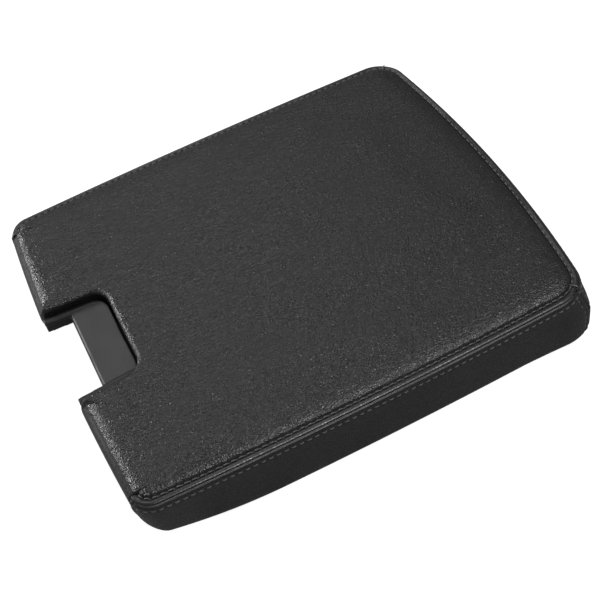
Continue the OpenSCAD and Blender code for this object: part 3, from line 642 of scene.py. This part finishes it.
def swell(piece, held, cap, frames=20):
    """Blows the padded top up as cloth with some points held, and limits how far a point moves."""
    scene = bpy.context.scene
    before = points_of(piece)
    group = piece.vertex_groups.new(name="held")
    group.add([int(i) for i in np.flatnonzero(held)], 1.0, "REPLACE")
    cloth = add_modifier(piece, "CLOTH")
    settings = cloth.settings
    settings.quality = 4
    settings.mass = 0.4
    settings.tension_stiffness = settings.compression_stiffness = 12
    settings.shear_stiffness = 8
    settings.bending_stiffness = 3
    settings.use_pressure = True
    settings.uniform_pressure_force = PRESSURE
    settings.vertex_group_mass = "held"
    settings.effector_weights.gravity = 0
    cloth.collision_settings.use_collision = False
    cloth.point_cache.frame_start, cloth.point_cache.frame_end = 1, frames
    for number in range(1, frames + 1):
        scene.frame_set(number)
    apply_modifiers(piece)
    move = points_of(piece) - before
    far = np.maximum(np.linalg.norm(move, axis=1, keepdims=True), 1e-9)
    limited = before + move / far * cap * np.tanh(far / cap)
    piece.data.vertices.foreach_set("co", limited.ravel())
    piece.data.update()
    piece.vertex_groups.clear()
    scene.frame_set(1)


def thicken(piece, thickness, shares):
    """Gives a skin its thickness inwards, with a share of it at each point."""
    group = piece.vertex_groups.new(name="share")
    for share in np.unique(shares):
        group.add([int(i) for i in np.flatnonzero(shares == share)], float(share), "REPLACE")
    add_modifier(piece, "SOLIDIFY", thickness=thickness, offset=-1.0, use_rim=True,
                 vertex_group="share", thickness_vertex_group=0.0)
    apply_modifiers(piece)
    piece.vertex_groups.clear()


def mark_stretch(piece, values):
    """Keeps how far each point's leather is stretched, for its material."""
    piece.data.attributes.new("stretch", "FLOAT", "POINT").data.foreach_set("value", values)


class LID_OT_top_leather(bpy.types.Operator):
    """Model the top panel: rings round its edge, a cut crown, a swell and its thickness"""

    bl_idname = "lid.top_leather"
    bl_label = "Top leather"

    def execute(self, context):
        sizes, colours = context.scene.lid_sizes, context.scene.lid_colours
        top = skin("leather_top", top_rows(sizes.stitch / MM), closed=True)
        fill_crown(top)
        x, _, z = points_of(top).T / MM
        # the seam stretches the leather up to a little above it, and less far near the middle
        until = np.where(np.abs(x) > 60, SEAM + 2.6, SEAM + 0.8)
        mark_stretch(top, ease((until - z) / 1.6))
        swell(top, z <= SWELL_FROM, sizes.swell)
        z = points_of(top)[:, 2] / MM
        thicken(top, sizes.leather, np.where(np.abs(z - SEAM) > 1.0, 1.0, TOP_FOLDED))
        round_shading(top)
        material = leather_material("leather_top", colours.leather, 1.0, 0.19)
        finish_piece(top, material)
        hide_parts("top_panel")
        return {"FINISHED"}


def band_places(start, end):
    """Places along a band, close together at its two ends."""
    near = np.array([0, 0.12, 0.3, 0.55, 0.9, 1.4, 1.9, 2.4, 2.9, 3.4, 3.8, 4.2, 4.6, 5.0, 5.5])
    middle = np.linspace(start + 6, end - 6, int((end - start - 12) * 1.05))
    return np.concatenate([start + near, middle, (end - near)[::-1]])


def band_rows(start, end, pitch):
    """Rows of points along a band, from the end of its hem up to the seam, in millimetres."""
    places = band_places(start, end)
    holes = at_places(stitch_wave(0.5, pitch), places)
    lift = at_places(LIFT, places)
    s = travelled(at_places(EDGE, places))
    apart = np.minimum(s, s[-1] - s)
    # at its two ends the leather is folded in, raised beside the fold and drawn in by stitches
    fold = 1.1 * bell(apart, 0, 0.7) - 0.4 * bell(apart, 2.3, 1.0) + 0.5 * bell(apart, 4.6, 0.6)
    rows = []
    for inset, height, share in smooth_section(BAND):
        plan = at_places(outline(inset), places)
        inwards = at_places(outline(inset + 1.0), places) - plan
        z = height + share * lift
        on_face = 1.0 if 3 < height < SEAM - 0.5 or share < 0.5 else 0.4
        near_row = bell(height, SEAM - LOWER_ROW, 0.9) * (share < 0.5)
        push = fold * on_face + LOWER_HOLE * near_row * holes - LOWER_RISE * near_row
        plan = flared(plan + inwards * push[:, None], z, inset)
        rows.append(np.concatenate([plan, z[:, None]], axis=1))
    return np.array(rows)


class LID_OT_side_bands(bpy.types.Operator):
    """Model the three bands round the sides, folded at the seam and turned under the lower edge"""

    bl_idname = "lid.side_bands"
    bl_label = "Side bands"

    def execute(self, context):
        sizes, colours = context.scene.lid_sizes, context.scene.lid_colours
        leather = leather_material("leather_band", colours.leather, 0.22, 0.36)
        for name, start, end in (("right_band", RIGHT_FRONT, RIGHT_SEAM),
                                 ("rear_band", RIGHT_SEAM, LEFT_SEAM),
                                 ("left_band", LEFT_SEAM, LEFT_FRONT)):
            band = skin("leather_" + name, band_rows(start, end, sizes.stitch / MM))
            face_out(band, lambda co, normal: normal.xy.dot(co.xy), lambda co: 0.02 < co.z < 0.04)
            z = points_of(band)[:, 2] / MM
            mark_stretch(band, ease((z - SEAM + 6.2) / 2.0))
            thicken(band, sizes.leather, np.where(z > SEAM - 3.0, BAND_FOLDED, 1.0))
            round_shading(band)
            finish_piece(band, leather)
            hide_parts(name)
        return {"FINISHED"}


# Threads

UPPER_ROW_HEIGHT = SEAM + 1.25
TACK_HEIGHT, TACK_LENGTH = SEAM + 1.75, 0.0072
UPRIGHT_PITCH, UPRIGHT_BESIDE = 5.4, 4.7


def one_stitch(length, thickness):
    """One stitch, modelled once: a thread that rises out of one hole and dips into the next."""
    clear_selection()
    bpy.ops.mesh.primitive_cylinder_add(
        vertices=8, radius=thickness / 2, depth=length, end_fill_type="TRIFAN",
        rotation=(0, math.pi / 2, 0))
    stitch = bpy.context.object
    bpy.ops.object.transform_apply(location=True, rotation=True, scale=True)
    bpy.ops.object.mode_set(mode="EDIT")
    for share in (-0.42, -0.32, -0.16, 0.0, 0.16, 0.32, 0.42):
        bpy.ops.mesh.select_all(action="SELECT")
        bpy.ops.mesh.bisect(plane_co=(share * length, 0, 0), plane_no=(1, 0, 0))
    bpy.ops.object.mode_set(mode="OBJECT")
    for v in stitch.data.vertices:
        t = abs(v.co.x) / (length / 2)
        thinner = 1 - 0.35 * t ** 6
        v.co.z = v.co.z * thinner - 0.85 * thickness * t ** 4
        v.co.y *= thinner
    round_shading(stitch)
    return stitch


def sew(name, stitch, places):
    """A row of copies of the stitch, each with its own mesh, joined into one piece."""
    copies = []
    for middle, along, up in places:
        x = Vector(along).normalized()
        y = Vector(up).cross(x).normalized()
        matrix = Matrix((x, y, x.cross(y))).transposed().to_4x4()
        matrix.translation = (Vector(middle) - Vector((0, Y_MID, 0))) * MM
        copy = stitch.copy()
        copy.data = stitch.data.copy()
        copy.data.transform(matrix)
        bpy.context.scene.collection.objects.link(copy)
        copies.append(copy)
    clear_selection()
    for copy in copies:
        copy.select_set(True)
    bpy.context.view_layer.objects.active = copies[0]
    bpy.ops.object.join()
    row = bpy.context.object
    row.name = name
    return row


def row_places(inset, height, leaning, pitch):
    """Middle, direction and up of each stitch of a row round the seam, which leans outwards."""
    at, _, count = stitch_row(inset, pitch)
    line, inner = at_places(outline(inset), at), at_places(outline(inset + 1), at)
    found = []
    for k in range(count):
        a, b = line[k:k + 2]
        out = (a - inner[k]) / np.linalg.norm(a - inner[k])
        up = (*(out * leaning), math.sqrt(1 - leaning ** 2))
        found.append(((*(a + b) / 2, height), (*(b - a), 0), up))
    return found


def upright_places(place, low, high):
    """Stitches up a band beside a rear corner's seam, at one place of the outline."""
    plan = at_places(outline(0.45), [place, place + 0.5])
    found = []
    for z in np.arange(low, high, UPRIGHT_PITCH):
        a, beside = flared(plan, z, 0)
        b, _ = flared(plan, z + UPRIGHT_PITCH, 0)
        out = np.array([beside[1] - a[1], a[0] - beside[0]])
        out = out / np.linalg.norm(out)
        found.append(((*(a + b) / 2, z + UPRIGHT_PITCH / 2), (*(b - a), UPRIGHT_PITCH), (*out, 0)))
    return found


def tack_places():
    """The bar that closes the upper row over each rear corner's seam."""
    outer, inner = outline(2.2), outline(8.2)
    return [((*(inner[place] + outer[place]) / 2, TACK_HEIGHT),
             (*(outer[place] - inner[place]), 0), (0, 0, 1))
            for place in (RIGHT_SEAM, LEFT_SEAM)]


class LID_OT_threads(bpy.types.Operator):
    """Sew the rows of stitches beside the shoulder seam and beside the upright seams"""

    bl_idname = "lid.threads"
    bl_label = "Threads"

    def execute(self, context):
        sizes, colours = context.scene.lid_sizes, context.scene.lid_colours
        thread = thread_material(colours.thread)
        pitch = sizes.stitch / MM
        stitch = one_stitch(sizes.stitch * 0.62, sizes.thread)
        tack = one_stitch(TACK_LENGTH, sizes.thread)
        upright = []
        for seam in (RIGHT_SEAM, LEFT_SEAM):
            for place in (seam - UPRIGHT_BESIDE, seam + UPRIGHT_BESIDE):
                upright += upright_places(place, 10.0, SEAM - 6)
        for name, model, places, slot in (
                ("thread_upper_row", stitch,
                 row_places(ROW_IN - 0.1, UPPER_ROW_HEIGHT, 0.15, pitch), "leather_top"),
                ("thread_lower_row", stitch,
                 row_places(0.1, SEAM - LOWER_ROW, 0.97, pitch), "leather_band"),
                ("thread_upright_rows", stitch, upright, "leather_band"),
                ("thread_tacks", tack, tack_places(), "leather_top")):
            finish_piece(sew(name, model, places), thread)
        bpy.data.objects.remove(stitch)
        bpy.data.objects.remove(tack)
        return {"FINISHED"}


# Moulded parts, padding and fixings

LEDGE = SEAM - 4            # height of the latch bezel's ledge


def copy_of_node(node, name):
    """A merged copy of a CAD node's mesh, as a new object."""
    clear_selection()
    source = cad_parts[node]
    piece = source.copy()
    piece.data = source.data.copy()
    piece.parent = None
    for key in list(piece.keys()):
        del piece[key]
    bpy.context.scene.collection.objects.link(piece)
    piece.name = name
    edit_all(piece, bpy.ops.mesh.remove_doubles, threshold=1e-6)
    return piece


class LID_OT_bezel(bpy.types.Operator):
    """Round every edge of the latch bezel as a mould does; satin, with painted shade off the ledge
    """

    bl_idname = "lid.bezel"
    bl_label = "Latch bezel"

    def execute(self, context):
        bezel = copy_of_node("latch_bezel", "bezel_moulding")
        add_modifier(bezel, "REMESH", mode="VOXEL", voxel_size=0.0007, use_smooth_shade=True)
        add_modifier(bezel, "SMOOTH", factor=0.5, iterations=4)
        apply_modifiers(bezel)
        round_shading(bezel)
        colour = context.scene.lid_colours.bezel
        # the bezel's walls and rims get painted shade, darker than its ledge
        finish_piece(bezel, plastic_material("bezel", colour, 0.5, face=LEDGE * MM))
        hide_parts("latch_bezel")
        return {"FINISHED"}


class LID_OT_foam(bpy.types.Operator):
    """Model the foam pad under the leather"""

    bl_idname = "lid.foam"
    bl_label = "Foam pad"

    def execute(self, context):
        foam = copy_of_node("foam_pad", "foam_core")
        add_modifier(foam, "REMESH", mode="VOXEL", voxel_size=0.004, use_smooth_shade=True)
        add_modifier(foam, "DISPLACE", strength=-0.0016, mid_level=0.0)
        apply_modifiers(foam)
        finish_piece(foam, foam_material())
        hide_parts("foam_pad")
        return {"FINISHED"}


class LID_OT_fixings(bpy.types.Operator):
    """Give the shell, tape, screws, inserts and staples their materials"""

    bl_idname = "lid.fixings"
    bl_label = "Shell and fixings"

    def execute(self, context):
        brass = metal_material("brass", (0.55, 0.4, 0.16), 0.32)
        for node, material in (
                ("lid_shell", plastic_material("shell", (0.017, 0.017, 0.018), 0.5, 900.0, 0.5)),
                ("seam_tape", tape_material()),
                ("bezel_screws", metal_material("zinc", (0.42, 0.42, 0.44), 0.38)),
                ("hinge_inserts", brass),
                ("latch_inserts", brass),
                ("cover_staples", metal_material("staple_wire", (0.5, 0.5, 0.51), 0.3))):
            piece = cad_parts[node]
            piece.data.materials.clear()
            piece.data.materials.append(material)
        return {"FINISHED"}


# Stage

# The camera that was fitted to the photograph
CAMERA_AT, CAMERA_LENS = (0.5765, -0.1541, 0.7130), 71.9
CAMERA_RIGHT, CAMERA_BACK = (0.4293, 0.8910, -0.1466), (0.6145, -0.1693, 0.7705)
# Name, place, target, size and power of each soft light
LIGHTS = (
    ("front_left", (-1.1, -1.25, 0.72), (0, -0.1, 0.04), (0.8, 0.28), 22),
    ("overhead", (-0.8, 0.05, 1.05), (0, 0, 0.03), (0.75, 0.65), 3.0),
    ("right_top", (0.62, 0.32, 1.2), (0.1, 0, 0.03), (1.1, 0.3), 12))
FLOOR_GREY, FLOOR_GLOW = 0.42, 0.85     # the glow makes the floor white for the camera
WORLD_LIGHT, WORLD_MIRRORED, WORLD_SEEN = 0.06, 0.1, 1.0


def area_light(name, place, target, size, power):
    """A rectangular lamp that looks at its target."""
    clear_selection()
    bpy.ops.object.light_add(type="AREA", location=place)
    lamp = bpy.context.object
    lamp.name = name
    lamp.data.shape = "RECTANGLE"
    lamp.data.size, lamp.data.size_y = size
    lamp.data.energy = power
    lamp.rotation_euler = (Vector(target) - Vector(place)).to_track_quat("-Z", "Y").to_euler()


def add_camera(scene):
    """The camera of the photograph."""
    clear_selection()
    bpy.ops.object.camera_add(location=CAMERA_AT)
    camera = bpy.context.object
    back = Vector(CAMERA_BACK).normalized()
    up = back.cross(Vector(CAMERA_RIGHT).normalized()).normalized()
    camera.rotation_euler = Matrix((up.cross(back), up, back)).transposed().to_euler()
    camera.data.sensor_width = 36.0
    camera.data.lens = CAMERA_LENS
    camera.data.clip_end = 20
    scene.camera = camera


def add_floor():
    """A floor that the camera sees as white, apart from the object's shadow."""
    clear_selection()
    bpy.ops.mesh.primitive_plane_add(size=12, location=(0, 0, -0.0002))
    floor = bpy.context.object
    floor.name = "floor"
    material, nodes, links, shader = new_material(
        "floor", (FLOOR_GREY, FLOOR_GREY, FLOOR_GREY), 0.9, Specular_IOR_Level=0.0)
    path = nodes.new("ShaderNodeLightPath")
    glow = combine(nodes, links, "MULTIPLY", path.outputs["Is Camera Ray"], FLOOR_GLOW)
    shader.inputs["Emission Color"].default_value = (1, 1, 1, 1)
    links.new(glow, shader.inputs["Emission Strength"])
    floor.data.materials.append(material)


def add_world(scene):
    """Surroundings that are white for the camera, and dim in what they light and mirror."""
    world = bpy.data.worlds.new("studio")
    scene.world = world
    world.use_nodes = True
    nodes, links = world.node_tree.nodes, world.node_tree.links
    background = nodes["Background"]
    background.inputs["Color"].default_value = (1, 1, 1, 1)
    path = nodes.new("ShaderNodeLightPath")
    mirrored = combine(nodes, links, "MAXIMUM", path.outputs["Is Glossy Ray"],
                       path.outputs["Is Transmission Ray"])
    level = ramp(nodes, links, path.outputs["Is Camera Ray"], 0, 1, WORLD_LIGHT, WORLD_SEEN)
    level = combine(nodes, links, "MULTIPLY_ADD", mirrored, WORLD_MIRRORED, level)
    links.new(level, background.inputs["Strength"])


class LID_OT_stage(bpy.types.Operator):
    """Set up the camera, the soft lights, the white surroundings and the floor"""

    bl_idname = "lid.stage"
    bl_label = "Stage"

    def execute(self, context):
        scene = context.scene
        scene.view_settings.view_transform = "Standard"
        add_camera(scene)
        add_floor()
        add_world(scene)
        for light in LIGHTS:
            area_light(*light)
        return {"FINISHED"}


class LID_PT_panel(bpy.types.Panel):
    """The lid's sizes and colours and the steps that build it."""

    bl_idname = "LID_PT_panel"
    bl_label = "Console lid"
    bl_space_type = "VIEW_3D"
    bl_region_type = "UI"
    bl_category = "Console lid"

    def draw(self, context):
        for group in (context.scene.lid_sizes, context.scene.lid_colours):
            for name in group.__annotations__:
                self.layout.prop(group, name)
        for step in STEPS:
            self.layout.operator(step.bl_idname)


STEPS = (LID_OT_stage, LID_OT_top_leather, LID_OT_side_bands, LID_OT_threads, LID_OT_bezel,
         LID_OT_foam, LID_OT_fixings)
CLASSES = (LidSizes, LidColours, *STEPS, LID_PT_panel)


def register():
    """Registers the classes and hangs the sizes and colours on the scene."""
    for item in CLASSES:
        bpy.utils.register_class(item)
    bpy.types.Scene.lid_sizes = bpy.props.PointerProperty(type=LidSizes)
    bpy.types.Scene.lid_colours = bpy.props.PointerProperty(type=LidColours)


def unregister():
    """Takes everything that was registered off again."""
    del bpy.types.Scene.lid_sizes
    del bpy.types.Scene.lid_colours
    for item in reversed(CLASSES):
        bpy.utils.unregister_class(item)


def main():
    """Builds every piece in order."""
    register()
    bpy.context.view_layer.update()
    bpy.ops.lid.stage()
    bpy.ops.lid.top_leather()
    bpy.ops.lid.side_bands()
    bpy.ops.lid.threads()
    bpy.ops.lid.bezel()
    bpy.ops.lid.foam()
    bpy.ops.lid.fixings()


if __name__ == "__main__":
    main()
